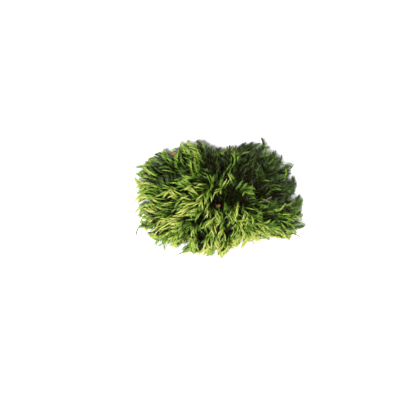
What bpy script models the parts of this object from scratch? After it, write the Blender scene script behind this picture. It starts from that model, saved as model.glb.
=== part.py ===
"""A moss clump: tufts of leafy shoots bound at the foot by a felt of rhizoids, cut flat underneath.

Metres, +Z up. The clump rests on its cut underside at z = 0, and +Y is its far side.
The single shoots are too many to be solids, so each tuft is one closed solid that reaches
the tips of the shoots it stands for. The felt, the tufts and the loose litter are separate.
"""

import math

import bmesh
import bpy
from mathutils import Vector

# The outline that the shoot tips reach, seen from above, anticlockwise from the right.
TIP_OUTLINE = [
    (0.0830, 0.002), (0.0765, 0.023), (0.0650, 0.040), (0.0500, 0.056), (0.0330, 0.059),
    (0.0060, 0.053), (-0.0240, 0.058), (-0.0470, 0.053), (-0.0710, 0.043), (-0.0815, 0.021),
    (-0.0820, -0.005), (-0.0760, -0.027), (-0.0560, -0.045), (-0.0370, -0.052), (-0.0130, -0.058),
    (0.0090, -0.055), (0.0260, -0.044), (0.0510, -0.040), (0.0760, -0.029), (0.0830, -0.013),
]

# Heights above the cut underside.
CROWN_HEIGHT = 0.052
TIP_EDGE_HEIGHT = 0.008
SKIRT_HEIGHT = 0.0025
DOME_POWER = 2.5  # how far out the top stays level
DOME_SHOULDER = 0.58  # how steeply the sides then fall
CROWN = Vector((0.006, 0.006))

# The felt lies this far inside the tips, because the outer shoots droop over its rim.
FELT_INSET = 0.017
FELT_RIM_HEIGHT = 0.005
FELT_CROWN_HEIGHT = 0.010
FELT_RIM_ROUND = 0.0015
TUFT_CLEARANCE = 0.0008  # between a tuft and the felt

# The tufts: where each one's shoots stand.
TUFTS = {
    "tuft_crown": (0.001, 0.019),
    "tuft_east_inner": (0.029, 0.011),
    "tuft_east": (0.060, 0.000),
    "tuft_east_far": (0.064, 0.026),
    "tuft_northeast": (0.039, 0.041),
    "tuft_north": (0.003, 0.044),
    "tuft_northwest": (-0.030, 0.044),
    "tuft_northwest_far": (-0.064, 0.033),
    "tuft_west_arch": (-0.031, 0.018),
    "tuft_west": (-0.034, -0.009),
    "tuft_west_far": (-0.066, -0.003),
    "tuft_southwest": (-0.047, -0.034),
    "tuft_south": (-0.013, -0.035),
    "tuft_south_inner": (0.016, -0.021),
    "tuft_southeast": (0.048, -0.026),
}
PARTING_WIDTH = 0.0014
PARTING_DEPTH = 0.16  # how much lower a tuft's rim is than its middle, as a share of its height
CORNER_SOFTNESS = 14  # a lower value rounds the corners more where three tufts meet

TUFT_SIDES = 28
TUFT_RINGS = (0.32, 0.58, 0.80, 0.93, 1.0)
FELT_SIDES = 48
FELT_RINGS = (0.35, 0.65, 0.88)

# Loose litter that lies on the clump or is trapped under its edge.
LITTER_CLEARANCE = 0.0009
FLAKE_SIDES = 14
BUD_SCALE = {"at": (-0.001, -0.006), "length": 0.0056, "width": 0.0036, "turn": 25, "cup": 0.0010}
LEAF_SCRAP = {"at": (-0.0450, 0.0465), "length": 0.0085, "width": 0.0050, "turn": 15, "cup": 0.0012}
FLAKE_THICKNESS = 0.0006
TWIG_ENDS = ((0.0415, -0.002), (0.0520, 0.0035))
TWIG_RADIUS = 0.0005
STALK_RADIUS = 0.0005
STALKS = {
    "dead_stalk_southwest": [
        (-0.0630, -0.0240, 0.0012), (-0.0700, -0.0275, 0.0010), (-0.0780, -0.0300, 0.0012),
        (-0.0835, -0.0330, 0.0022), (-0.0848, -0.0375, 0.0034), (-0.0838, -0.0415, 0.0036),
    ],
    "dead_stalk_south": [
        (0.0300, -0.0300, 0.0012), (0.0322, -0.0350, 0.0010), (0.0342, -0.0395, 0.0012),
        (0.0358, -0.0440, 0.0018), (0.0365, -0.0480, 0.0024),
    ],
    "dead_stalk_southeast": [
        (0.0635, -0.0305, 0.0012), (0.0690, -0.0325, 0.0010), (0.0760, -0.0350, 0.0014),
        (0.0806, -0.0368, 0.0022), (0.0848, -0.0386, 0.0028),
    ],
}

MOSS_GREEN = (0.105, 0.160, 0.030)
FELT_BROWN = (0.040, 0.024, 0.012)
DRY_TAN = (0.320, 0.200, 0.095)
RUSTY_BROWN = (0.180, 0.070, 0.022)
STALK_BROWN = (0.075, 0.045, 0.024)


def clear_scene():
    for obj in list(bpy.data.objects):
        bpy.data.objects.remove(obj)


def make_material(name, colour, roughness):
    material = bpy.data.materials.new(name)
    material.use_nodes = True
    shader = material.node_tree.nodes["Principled BSDF"]
    shader.inputs["Base Color"].default_value = (*colour, 1.0)
    shader.inputs["Roughness"].default_value = roughness
    shader.inputs["Metallic"].default_value = 0.0
    return material


def tip_reach(angle):
    """How far the tips reach from the origin at an angle: a smooth closed curve through TIP_OUTLINE."""
    turn = 2 * math.pi
    spots = sorted((math.atan2(y, x) % turn, math.hypot(x, y)) for x, y in TIP_OUTLINE)
    spots = [(spots[-2][0] - turn, spots[-2][1]), (spots[-1][0] - turn, spots[-1][1])] + spots
    spots += [(spots[2][0] + turn, spots[2][1]), (spots[3][0] + turn, spots[3][1])]
    angle %= turn
    k = max(i for i in range(1, len(spots) - 2) if spots[i][0] <= angle)
    (a0, r0), (a1, r1), (a2, r2), (a3, r3) = spots[k - 1 : k + 3]
    t = (angle - a1) / (a2 - a1)
    slope1 = (r2 - r0) / (a2 - a0) * (a2 - a1)
    slope2 = (r3 - r1) / (a3 - a1) * (a2 - a1)
    rise = 3 * t * t - 2 * t**3
    return r1 + (r2 - r1) * rise + slope1 * (t - 2 * t * t + t**3) + slope2 * (t**3 - t * t)


def inside_share(point):
    """0 at the origin, 1 on the tip outline."""
    return point.length / tip_reach(math.atan2(point.y, point.x))


def way_out(start, direction):
    """The distance from start to the tip outline along a direction."""
    near, far = 0.0, 0.25
    for _ in range(40):
        middle = (near + far) / 2
        if inside_share(start + direction * middle) < 1:
            near = middle
        else:
            far = middle
    return near


def felt_top(point):
    """The felt's top face, a shallow dome that ends at its rim."""
    rim = tip_reach(math.atan2(point.y, point.x)) - FELT_INSET
    share = min(point.length / rim, 1.0)
    return FELT_RIM_HEIGHT + (FELT_CROWN_HEIGHT - FELT_RIM_HEIGHT) * (1 - share**2)


def tuft_bottom(point):
    """The underside of the tufts: it follows the felt, then droops past its rim."""
    past_rim = point.length - (tip_reach(math.atan2(point.y, point.x)) - FELT_INSET)
    droop = min(max(past_rim / FELT_INSET, 0.0), 1.0)
    on_felt = felt_top(point) + TUFT_CLEARANCE
    return on_felt + (SKIRT_HEIGHT - on_felt) * droop**1.5


def dome_height(point):
    """The height of the whole clump's rounded top."""
    away = point - CROWN
    if away.length < 1e-9:
        return CROWN_HEIGHT
    share = min(away.length / way_out(CROWN, away.normalized()), 1.0)
    rise = max(1 - share**DOME_POWER, 0.0) ** DOME_SHOULDER
    return TIP_EDGE_HEIGHT + (CROWN_HEIGHT - TIP_EDGE_HEIGHT) * rise


def tuft_radius(name, angle):
    """How far a tuft reaches from its middle: halfway to its neighbours, or to the tip outline."""
    middle = Vector(TUFTS[name])
    direction = Vector((math.cos(angle), math.sin(angle)))
    limits = [way_out(middle, direction)]
    for other, place in TUFTS.items():
        towards = Vector(place) - middle
        facing = direction.dot(towards)
        if other != name and facing > 1e-6:
            limits.append((towards.length_squared / 2) / facing - PARTING_WIDTH / 2)
    return sum(limit**-CORNER_SOFTNESS for limit in limits) ** (-1 / CORNER_SOFTNESS)


def tuft_top(point, share):
    """The top of a tuft at a share of the way from its middle to its rim."""
    bottom = tuft_bottom(point)
    return bottom + (dome_height(point) - bottom) * (1 - PARTING_DEPTH * share**3)


def solid_from_rings(name, rings, first_tip, last_tip, material):
    """A closed solid from rings of points, top to bottom, with a point at each end."""
    mesh = bmesh.new()
    loops = [[mesh.verts.new(p) for p in ring] for ring in rings]
    top, bottom = mesh.verts.new(first_tip), mesh.verts.new(last_tip)
    count = len(rings[0])
    for i in range(count):
        j = (i + 1) % count
        mesh.faces.new((top, loops[0][i], loops[0][j]))
        mesh.faces.new((bottom, loops[-1][j], loops[-1][i]))
        for upper, lower in zip(loops, loops[1:]):
            mesh.faces.new((upper[i], lower[i], lower[j], upper[j]))
    bmesh.ops.recalc_face_normals(mesh, faces=mesh.faces)
    data = bpy.data.meshes.new(name)
    mesh.to_mesh(data)
    mesh.free()
    data.shade_smooth()
    data.set_sharp_from_angle(angle=math.radians(50))
    obj = bpy.data.objects.new(name, data)
    obj.data.materials.append(material)
    bpy.context.scene.collection.objects.link(obj)
    return obj


def make_felt(material):
    """The felt of rhizoids and dead stems, cut flat underneath."""
    angles = [2 * math.pi * i / FELT_SIDES for i in range(FELT_SIDES)]

    def ring(share, height=None, inset=0.0):
        points = []
        for angle in angles:
            radius = (tip_reach(angle) - FELT_INSET) * share - inset
            spot = Vector((math.cos(angle), math.sin(angle))) * radius
            points.append((spot.x, spot.y, felt_top(spot) if height is None else height))
        return points

    rings = [ring(share) for share in FELT_RINGS]
    rings.append(ring(1.0, FELT_RIM_HEIGHT, FELT_RIM_ROUND))
    rings.append(ring(1.0, FELT_RIM_HEIGHT - FELT_RIM_ROUND))
    rings.append(ring(1.0, FELT_RIM_ROUND / 2))
    rings.append(ring(1.0, 0.0, FELT_RIM_ROUND / 2))
    return solid_from_rings("rhizoid_felt", rings, (0, 0, FELT_CROWN_HEIGHT), (0, 0, 0), material)


def make_tuft(name, material):
    """One bundle of shoots, from the felt up to the tips."""
    middle = Vector(TUFTS[name])
    spokes = []
    for i in range(TUFT_SIDES):
        angle = 2 * math.pi * i / TUFT_SIDES
        spokes.append(Vector((math.cos(angle), math.sin(angle))) * tuft_radius(name, angle))

    def ring(share, height_of):
        spots = [middle + spoke * share for spoke in spokes]
        return [(spot.x, spot.y, height_of(spot)) for spot in spots]

    rings = [ring(share, lambda spot, s=share: tuft_top(spot, s)) for share in TUFT_RINGS]
    rings += [ring(share, tuft_bottom) for share in (1.0, 0.55)]
    top = (*middle, tuft_top(middle, 0.0))
    bottom = (*middle, tuft_bottom(middle))
    return solid_from_rings(name, rings, top, bottom, material)


def surface_under(spots):
    """The highest that any tuft reaches under some spots."""
    highest = 0.0
    for spot in spots:
        name = min(TUFTS, key=lambda n: (spot - Vector(TUFTS[n])).length)
        away = spot - Vector(TUFTS[name])
        share = min(away.length / tuft_radius(name, math.atan2(away.y, away.x)), 1.0)
        highest = max(highest, tuft_top(spot, share))
    return highest


def make_flake(name, plan, material):
    """A cupped oval scale that lies on the shoots."""
    turn = math.radians(plan["turn"])
    along = Vector((math.cos(turn), math.sin(turn)))
    across = Vector((-along.y, along.x))
    middle = Vector(plan["at"])

    def spot(angle, share):
        reach_along = along * math.cos(angle) * plan["length"] / 2
        reach_across = across * math.sin(angle) * plan["width"] / 2
        return middle + (reach_along + reach_across) * share

    angles = [2 * math.pi * i / FLAKE_SIDES for i in range(FLAKE_SIDES)]
    height = surface_under([spot(angle, s) for angle in angles for s in (0.5, 1.0)])
    height += LITTER_CLEARANCE

    def ring(share, lift):
        spots = [spot(angle, share) for angle in angles]
        return [(p.x, p.y, height + plan["cup"] * share**2 + lift) for p in spots]

    rings = [ring(0.55, FLAKE_THICKNESS), ring(0.94, FLAKE_THICKNESS)]
    rings += [ring(1.0, FLAKE_THICKNESS / 2), ring(0.94, 0), ring(0.55, 0)]
    return solid_from_rings(
        name, rings, (*middle, height + FLAKE_THICKNESS), (*middle, height), material
    )


def make_stem(name, points, radii, material):
    """A thin tapering stem along some points."""
    data = bpy.data.curves.new(name, "CURVE")
    data.dimensions = "3D"
    data.bevel_depth = 1.0
    data.bevel_resolution = 2
    data.use_fill_caps = True
    data.resolution_u = 4
    spline = data.splines.new("BEZIER")
    spline.bezier_points.add(len(points) - 1)
    for spot, place, radius in zip(spline.bezier_points, points, radii):
        spot.co = place
        spot.radius = radius
        spot.handle_left_type = spot.handle_right_type = "AUTO"
    data.materials.append(material)
    obj = bpy.data.objects.new(name, data)
    bpy.context.scene.collection.objects.link(obj)
    return obj


def make_twig(material):
    """A bare bit of twig lying across the shoots."""
    start, end = (Vector(place) for place in TWIG_ENDS)
    spots = [start.lerp(end, share) for share in (0.0, 0.35, 0.7, 1.0)]
    height = surface_under(spots) + TWIG_RADIUS + LITTER_CLEARANCE
    lifts = (0.0, 0.0006, 0.0004, 0.0010)
    points = [(p.x, p.y, height + lift) for p, lift in zip(spots, lifts)]
    radii = [TWIG_RADIUS * taper for taper in (1.0, 0.95, 0.85, 0.6)]
    return make_stem("bare_twig", points, radii, material)


def main():
    clear_scene()
    moss = make_material("moss_green", MOSS_GREEN, 0.6)
    felt = make_material("felt_brown", FELT_BROWN, 0.95)
    tan = make_material("dry_tan", DRY_TAN, 0.8)
    rusty = make_material("rusty_brown", RUSTY_BROWN, 0.7)
    stalk = make_material("stalk_brown", STALK_BROWN, 0.75)
    make_felt(felt)
    for name in TUFTS:
        make_tuft(name, moss)
    make_flake("bud_scale", BUD_SCALE, rusty)
    make_flake("leaf_scrap", LEAF_SCRAP, tan)
    make_twig(tan)
    for name, points in STALKS.items():
        tapers = [1.0 - 0.45 * i / (len(points) - 1) for i in range(len(points))]
        make_stem(name, points, [STALK_RADIUS * taper for taper in tapers], stalk)


main()
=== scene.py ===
import math

import bpy
import numpy as np
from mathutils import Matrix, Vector, noise
from mathutils.bvhtree import BVHTree


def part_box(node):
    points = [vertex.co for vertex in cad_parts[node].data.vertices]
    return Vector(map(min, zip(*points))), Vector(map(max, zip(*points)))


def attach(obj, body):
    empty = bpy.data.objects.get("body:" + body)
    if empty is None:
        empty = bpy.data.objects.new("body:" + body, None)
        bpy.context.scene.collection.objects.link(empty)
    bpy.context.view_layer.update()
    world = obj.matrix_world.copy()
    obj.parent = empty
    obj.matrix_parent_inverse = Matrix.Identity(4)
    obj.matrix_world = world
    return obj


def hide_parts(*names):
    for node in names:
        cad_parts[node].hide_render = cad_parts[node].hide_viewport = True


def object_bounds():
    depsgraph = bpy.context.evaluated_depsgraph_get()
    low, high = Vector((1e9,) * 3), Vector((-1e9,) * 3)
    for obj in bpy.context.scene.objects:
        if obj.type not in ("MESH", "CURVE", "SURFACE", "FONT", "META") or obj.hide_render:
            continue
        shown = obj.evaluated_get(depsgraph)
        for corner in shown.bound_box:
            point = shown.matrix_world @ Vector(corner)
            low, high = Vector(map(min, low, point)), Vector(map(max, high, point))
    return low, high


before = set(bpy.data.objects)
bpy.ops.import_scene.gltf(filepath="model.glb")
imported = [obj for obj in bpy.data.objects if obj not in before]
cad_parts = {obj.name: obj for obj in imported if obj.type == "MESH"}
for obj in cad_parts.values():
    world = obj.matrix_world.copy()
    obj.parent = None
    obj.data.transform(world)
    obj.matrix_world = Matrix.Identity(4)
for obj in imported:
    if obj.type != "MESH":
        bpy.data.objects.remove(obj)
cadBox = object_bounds()
mm = 0.001
fullTurn = 2 * math.pi
anyTurn = 6.28          # random bearings are drawn from nought to this
goldenTurn = 2.39996    # from one leaf to the next up a stem
lowCorner, highCorner = np.array(cadBox[0]), np.array(cadBox[1])
tuftNames = sorted(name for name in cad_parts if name.startswith("tuft_"))
print("frame: a clump of", np.round((highCorner - lowCorner) / mm, 1), "mm in", len(tuftNames), "tufts")


# small tools for colours, vectors, noise and nodes

def hexToLinear(code):
    # "#rrggbb" in sRGB to linear red, green, blue and alpha
    channels = [int(code[i:i + 2], 16) / 255 for i in (1, 3, 5)]
    return [c / 12.92 if c <= 0.04045 else ((c + 0.055) / 1.055) ** 2.4 for c in channels] + [1.0]


def unit(vectors):
    return vectors / np.maximum(np.linalg.norm(vectors, axis=-1, keepdims=True), 1e-9)


def flatten(vectors):
    return vectors.reshape(-1, 3)


def softNoise(points, size, seed):
    # smooth values of about -1 to 1 whose bumps are size metres wide
    shift = Vector((seed * 7.31, seed * 3.17, seed * 5.73))
    return np.array([noise.noise(Vector(p) / size + shift) * 1.6 for p in points])


def smoothStep(low, high, values):
    t = np.clip((values - low) / (high - low), 0, 1)
    return t * t * (3 - 2 * t)


def addNode(tree, kind, settings=None, links=None):
    # settings set sockets or properties by name, and links join other nodes' outputs to its inputs
    node = tree.nodes.new(kind)
    for key, value in (settings or {}).items():
        if key in node.inputs:
            node.inputs[key].default_value = value
        else:
            setattr(node, key, value)
    for key, source in (links or {}).items():
        tree.links.new(source, node.inputs[key])
    return node


def setStops(ramp, stops):
    # stops are (position, hex colour) pairs from left to right
    elements = ramp.color_ramp.elements
    while len(elements) < len(stops):
        elements.new(0.5)
    for element, (position, code) in zip(elements, stops):
        element.position = position
        element.color = hexToLinear(code)


def newMaterial(name):
    material = bpy.data.materials.new(name)
    material.use_nodes = True
    material.node_tree.nodes.clear()
    return material, material.node_tree


def addMattFinish(tree, finish, first, second, height):
    # the end of a material: colours along a mix of two patterns, and relief from one
    both = addNode(tree, "ShaderNodeMix", {"data_type": "FLOAT", "Factor": finish["share"]})
    tree.links.new(first, both.inputs[2])
    tree.links.new(second, both.inputs[3])
    colour = addNode(tree, "ShaderNodeValToRGB", links={"Fac": both.outputs[0]})
    setStops(colour, finish["colours"])
    strength, depth = finish["relief"]
    relief = addNode(tree, "ShaderNodeBump", {"Strength": strength, "Distance": depth}, {"Height": height})
    surface = addNode(tree, "ShaderNodeBsdfPrincipled", {"Roughness": finish["roughness"]},
                      {"Base Color": colour.outputs["Color"], "Normal": relief.outputs["Normal"]})
    addNode(tree, "ShaderNodeOutputMaterial", links={"Surface": surface.outputs["BSDF"]})


# materials

# Moss leaf: living cells one layer thick, wet-looking and faintly see-through.
# It gives satin streaks, a glow where light comes through, and pale points on dark older leaves.
mossLeafFinish = {
    # the dark stops near 0.30 also colour the painted shade deep in the clump
    "bodyColours": [(0.0, "#1f1509"), (0.14, "#1c1b08"), (0.30, "#121f05"), (0.50, "#2f4412"),
                    (0.72, "#5a8521"), (0.90, "#8ba834"), (1.0, "#bfc355")],
    "pointColours": [(0.0, "#3a2614"), (0.14, "#40331a"), (0.30, "#222c0c"), (0.50, "#4a6019"),
                     (0.72, "#82a838"), (0.90, "#b0c658"), (1.0, "#d8db88")],
    "footShade": [(0.0, "#8f8f86"), (0.35, "#ffffff")],     # darker where the leaf clasps its stem, partly the leaf's own foot colour and partly painted shade in the crease
    "paleFrom": 0.45,   # share of the leaf's length where its point starts to pale
    "roughness": 0.42,  # satin, as living leaves with a film of water
    "ior": 1.45,
    "specular": 0.35,
    "glow": 0.18,       # share of the light that comes through the leaf
}


def makeMossLeaf():
    material, tree = newMaterial("moss leaf, living")
    finish = mossLeafFinish
    tint = addNode(tree, "ShaderNodeAttribute", {"attribute_name": "tint"}).outputs["Fac"]
    along = addNode(tree, "ShaderNodeAttribute", {"attribute_name": "along"}).outputs["Fac"]
    body = addNode(tree, "ShaderNodeValToRGB", links={"Fac": tint})
    setStops(body, finish["bodyColours"])
    point = addNode(tree, "ShaderNodeValToRGB", links={"Fac": tint})
    setStops(point, finish["pointColours"])
    foot = addNode(tree, "ShaderNodeValToRGB", links={"Fac": along})
    setStops(foot, finish["footShade"])
    towardsPoint = addNode(tree, "ShaderNodeMapRange",
                           {"From Min": finish["paleFrom"], "From Max": 1.0,
                            "interpolation_type": "SMOOTHSTEP"},
                           {"Value": along}).outputs["Result"]
    whole = addNode(tree, "ShaderNodeMix", {"data_type": "RGBA"})
    tree.links.new(towardsPoint, whole.inputs["Factor"])
    tree.links.new(body.outputs["Color"], whole.inputs[6])
    tree.links.new(point.outputs["Color"], whole.inputs[7])
    # painted shade at the leaf's foot, partly its own darker colour
    shaded = addNode(tree, "ShaderNodeMix", {"data_type": "RGBA", "blend_type": "MULTIPLY"})
    shaded.inputs["Factor"].default_value = 1.0
    tree.links.new(whole.outputs[2], shaded.inputs[6])
    tree.links.new(foot.outputs["Color"], shaded.inputs[7])
    colour = shaded.outputs[2]
    surface = addNode(tree, "ShaderNodeBsdfPrincipled",
                      {"Roughness": finish["roughness"], "IOR": finish["ior"],
                       "Specular IOR Level": finish["specular"]},
                      {"Base Color": colour})
    through = addNode(tree, "ShaderNodeBsdfTranslucent", links={"Color": colour})
    both = addNode(tree, "ShaderNodeMixShader", {"Fac": finish["glow"]})
    tree.links.new(surface.outputs["BSDF"], both.inputs[1])
    tree.links.new(through.outputs["BSDF"], both.inputs[2])
    addNode(tree, "ShaderNodeOutputMaterial", links={"Surface": both.outputs["Shader"]})
    return material


# Rhizoid felt: matted brown threads with crumbs of humus. It gives a dull, dark, fibrous foot.
# Real rhizoids are about 0.02 mm thick, too fine to show, so the pattern follows their strands.
rhizoidFeltFinish = {
    "colours": [(0.25, "#1a110a"), (0.5, "#3a2614"), (0.75, "#5d4226")],
    "threadSize": 0.9 * mm,
    "crumbSize": 4.0 * mm,
    "share": 0.45,          # how much of the colour follows the crumbs and not the threads
    "relief": (0.7, 0.4 * mm),
    "roughness": 0.95,
}


def makeRhizoidFelt():
    material, tree = newMaterial("rhizoid felt, dry")
    finish = rhizoidFeltFinish
    place = addNode(tree, "ShaderNodeTexCoord").outputs["Object"]
    threads = addNode(tree, "ShaderNodeTexNoise",
                      {"Scale": 1 / finish["threadSize"], "Detail": 4.0, "Distortion": 2.5},
                      {"Vector": place}).outputs["Fac"]
    crumbs = addNode(tree, "ShaderNodeTexNoise", {"Scale": 1 / finish["crumbSize"], "Detail": 3.0},
                     {"Vector": place}).outputs["Fac"]
    addMattFinish(tree, finish, threads, crumbs, threads)
    return material


# Bud scale: a resinous scale shed in spring and bleached.
# It gives a rusty fleck with fine lengthwise ribs.
budScaleFinish = {
    "colours": [(0.0, "#180d05"), (0.35, "#3b200a"), (0.7, "#6b4216"), (1.0, "#957037")],
    "mottleSize": 1.2 * mm,
    "share": 0.35,          # how much of the colour follows the mottling and not the tint
    "relief": (0.4, 0.1 * mm),
    "roughness": 0.5,
}

# Fallen leaf: dead, curled and leached by rain.
# It gives a tan scrap with paler veins and brown blotches.
fallenLeafFinish = {
    "colours": [(0.0, "#2b1e10"), (0.4, "#5f4a2c"), (0.75, "#8c734c"), (1.0, "#b59d74")],
    "mottleSize": 2.0 * mm,
    "share": 0.5,
    "relief": (0.4, 0.1 * mm),
    "roughness": 0.75,
}

# Twig: heather-like wood that has lost its leaves and weathered.
# It gives a grey-brown, cracked bark.
twigBarkFinish = {
    "colours": [(0.0, "#201a13"), (0.4, "#463b2e"), (0.8, "#766a58"), (1.0, "#988d7b")],
    "mottleSize": 0.9 * mm,
    "share": 0.5,
    "relief": (0.4, 0.1 * mm),
    "roughness": 0.8,
}

# Dead stalk: the dry stem of an old shoot. It gives a thin dark line with a straw-coloured end.
deadStalkFinish = {
    "colours": [(0.0, "#1f160d"), (0.5, "#43321d"), (0.85, "#7a6236"), (1.0, "#a78f57")],
    "mottleSize": 1.5 * mm,
    "share": 0.4,
    "relief": (0.4, 0.1 * mm),
    "roughness": 0.65,
}


def makeLitter(name, finish):
    # colour from the piece's own tint, broken up by mottling
    material, tree = newMaterial(name)
    place = addNode(tree, "ShaderNodeTexCoord").outputs["Object"]
    tint = addNode(tree, "ShaderNodeAttribute", {"attribute_name": "tint"}).outputs["Fac"]
    mottle = addNode(tree, "ShaderNodeTexNoise", {"Scale": 1 / finish["mottleSize"], "Detail": 5.0},
                     {"Vector": place}).outputs["Fac"]
    addMattFinish(tree, finish, tint, mottle, mottle)
    return material


# Background paper: uncoated white card. It gives a pale, even, matt ground.
paperFinish = {"colour": "#f7f7f5", "roughness": 0.9}


def makePaper():
    material, tree = newMaterial("background paper, matt")
    surface = addNode(tree, "ShaderNodeBsdfPrincipled",
                      {"Base Color": hexToLinear(paperFinish["colour"]),
                       "Roughness": paperFinish["roughness"]})
    addNode(tree, "ShaderNodeOutputMaterial", links={"Surface": surface.outputs["BSDF"]})
    return material


mossLeaf = makeMossLeaf()
rhizoidFelt = makeRhizoidFelt()
budScale = makeLitter("bud scale, resinous", budScaleFinish)
fallenLeaf = makeLitter("fallen leaf, dry", fallenLeafFinish)
twigBark = makeLitter("twig bark, weathered", twigBarkFinish)
deadStalk = makeLitter("dead stalk, dry", deadStalkFinish)
paper = makePaper()
print("materials made")


# the mound: how high the tips reach, read from the CAD tufts

mound = {
    "cell": 1.5 * mm,
    "margin": 12 * mm,  # how far the height map reaches past the clump
    "closing": 4,       # cells: partings narrower than twice this don't bend the combing
    "smoothing": 4,     # rounds of smoothing, each one cell wide
    "probeFrom": 0.2,   # metres, a height well above the clump
}


def tuftSurface():
    # one search tree over every tuft, with the tuft that each face belongs to
    points, faces, owners = [], [], []
    for number, name in enumerate(tuftNames):
        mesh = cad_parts[name].data
        start = len(points)
        points += [v.co.copy() for v in mesh.vertices]
        faces += [[start + i for i in p.vertices] for p in mesh.polygons]
        owners += [number] * len(mesh.polygons)
    return BVHTree.FromPolygons(points, faces), points, faces, owners


def spread(grid, pick):
    # one step of a 3 by 3 filter: pick is np.max to close gaps or np.mean to smooth
    padded = np.pad(grid, 1, mode="edge")
    rows, columns = grid.shape
    around = [padded[i:i + rows, j:j + columns] for i in range(3) for j in range(3)]
    return pick(np.array(around), axis=0)


surfaceTree, surfacePoints, surfaceFaces, surfaceOwners = tuftSurface()
gridX = np.arange(lowCorner[0] - mound["margin"], highCorner[0] + mound["margin"], mound["cell"])
gridY = np.arange(lowCorner[1] - mound["margin"], highCorner[1] + mound["margin"], mound["cell"])
moundHeight = np.zeros((len(gridX), len(gridY)))
for i, x in enumerate(gridX):
    for j, y in enumerate(gridY):
        hit = surfaceTree.ray_cast(Vector((x, y, mound["probeFrom"])), Vector((0, 0, -1)))
        moundHeight[i, j] = hit[0].z if hit[0] else 0.0
for step in range(mound["closing"]):
    moundHeight = spread(moundHeight, np.max)
for step in range(mound["closing"]):
    moundHeight = spread(moundHeight, np.min)
for step in range(mound["smoothing"]):
    moundHeight = spread(moundHeight, np.mean)
slopeX, slopeY = np.gradient(moundHeight, mound["cell"])
print("mound read:", moundHeight.shape[0], "by", moundHeight.shape[1], "cells")


def onGrid(grid, xy):
    # the height map's value at the nearest cell
    i = np.clip(((xy[:, 0] - gridX[0]) / mound["cell"]).round().astype(int), 0, len(gridX) - 1)
    j = np.clip(((xy[:, 1] - gridY[0]) / mound["cell"]).round().astype(int), 0, len(gridY) - 1)
    return grid[i, j]


def moundNormals(xy):
    slopes = np.stack([-onGrid(slopeX, xy), -onGrid(slopeY, xy), np.ones(len(xy))], axis=1)
    return unit(slopes)


# the combing: which way the shoots lean away from the crown's parting

combing = {
    "partingFrom": np.array([-9.0, 15.0]) * mm,
    "partingTo": np.array([20.0, 5.0]) * mm,
    "wander": (0.45, 26 * mm),  # radians, and the width of a swirl
    "lockWander": (0.30, 8 * mm),
}


def combedWay(xy):
    # unit ways over the ground, and how far each place is from the parting
    start, run = combing["partingFrom"], combing["partingTo"] - combing["partingFrom"]
    share = np.clip((xy - start) @ run / (run @ run), 0, 1)
    away = xy - (start + share[:, None] * run)
    angle = np.arctan2(away[:, 1], away[:, 0])
    for seed, key in enumerate(("wander", "lockWander")):
        amount, size = combing[key]
        angle += amount * softNoise(np.c_[xy, np.zeros(len(xy))], size, seed + 1)
    return np.c_[np.cos(angle), np.sin(angle)], np.linalg.norm(away, axis=1)


# where the shoot tips end on each tuft

tipSpread = {
    "spacing": 3.0 * mm,
    "triesPerTip": 12,
    "lowest": 1.5 * mm,
    "leastUp": -0.15,       # faces whose normals point further down than this bear no tips
    "clearWay": 14 * mm,    # a spot that faces another tuft closer than this is in a parting
    "clearFrom": 0.2 * mm,  # where that look starts, just off the tuft's own face
    "seed": 41,
}


def scatterTips():
    # random spots on the tufts, kept when no earlier one is closer than the spacing
    rng = np.random.default_rng(tipSpread["seed"])
    corners = np.array([[surfacePoints[i] for i in face] for face in surfaceFaces])
    cross = np.cross(corners[:, 1] - corners[:, 0], corners[:, 2] - corners[:, 0])
    area = np.linalg.norm(cross, axis=1) / 2
    normals = unit(cross)
    chance = area * (normals[:, 2] > tipSpread["leastUp"])
    wanted = int(chance.sum() / tipSpread["spacing"] ** 2 * tipSpread["triesPerTip"])
    picked = rng.choice(len(area), wanted, p=chance / chance.sum())
    a, b = rng.random((2, wanted))
    flip = a + b > 1
    a[flip], b[flip] = 1 - a[flip], 1 - b[flip]
    c = corners[picked]
    spots = c[:, 0] + a[:, None] * (c[:, 1] - c[:, 0]) + b[:, None] * (c[:, 2] - c[:, 0])
    taken, tips, owners = {}, [], []
    cell = tipSpread["spacing"]
    for spot, face in zip(spots, picked):
        if spot[2] < tipSpread["lowest"]:
            continue
        key = tuple((spot // cell).astype(int))
        near = [t for dx in (-1, 0, 1) for dy in (-1, 0, 1) for dz in (-1, 0, 1)
                for t in taken.get((key[0] + dx, key[1] + dy, key[2] + dz), ())]
        if any(((spot - t) ** 2).sum() < cell * cell for t in near):
            continue
        way = Vector(normals[face])
        start = Vector(spot) + way * tipSpread["clearFrom"]
        if surfaceTree.ray_cast(start, way, tipSpread["clearWay"])[0]:
            continue
        taken.setdefault(key, []).append(spot)
        tips.append(spot)
        owners.append(surfaceOwners[face])
    return np.array(tips), np.array(owners)


tips, tipOwners = scatterTips()
print("tips scattered:", len(tips))


# neighbouring shoots lean together in locks, with dark gaps between the locks, deepened by painted shade
# on the deeper shoots

lock = {
    "width": 2.0 * mm,
    "length": 46 * mm,
    "apart": 0.8,                  # least gap between two middles, where 1 is the rim of a lock
    "gather": 0.90,                # how far a lock's tips are pulled towards its middle line
    "turn": 0.10,                  # radians, each lock's own turn away from the combing
    "curlyTurn": 0.55,             # the same where the moss is curly
    "lift": 5.0,                   # degrees, how much more or less a lock stands up
    "sink": 5.0 * mm,              # how much deeper a lock may lie than its neighbours
    "tone": 0.13,                  # how much yellower or darker a lock may be
    "curlyTone": 0.4,              # how much more of that where the moss is curly
    "strays": 0.22,                # share of the locks at the rim that reach further out
    "strayReach": (1.5 * mm, 7 * mm),
    "wave": (0.5 * mm, 1.6 * mm),  # how far a lock's middle line swings to a side
    "waveLength": (18 * mm, 30 * mm),
    "seed": 15,
}
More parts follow.
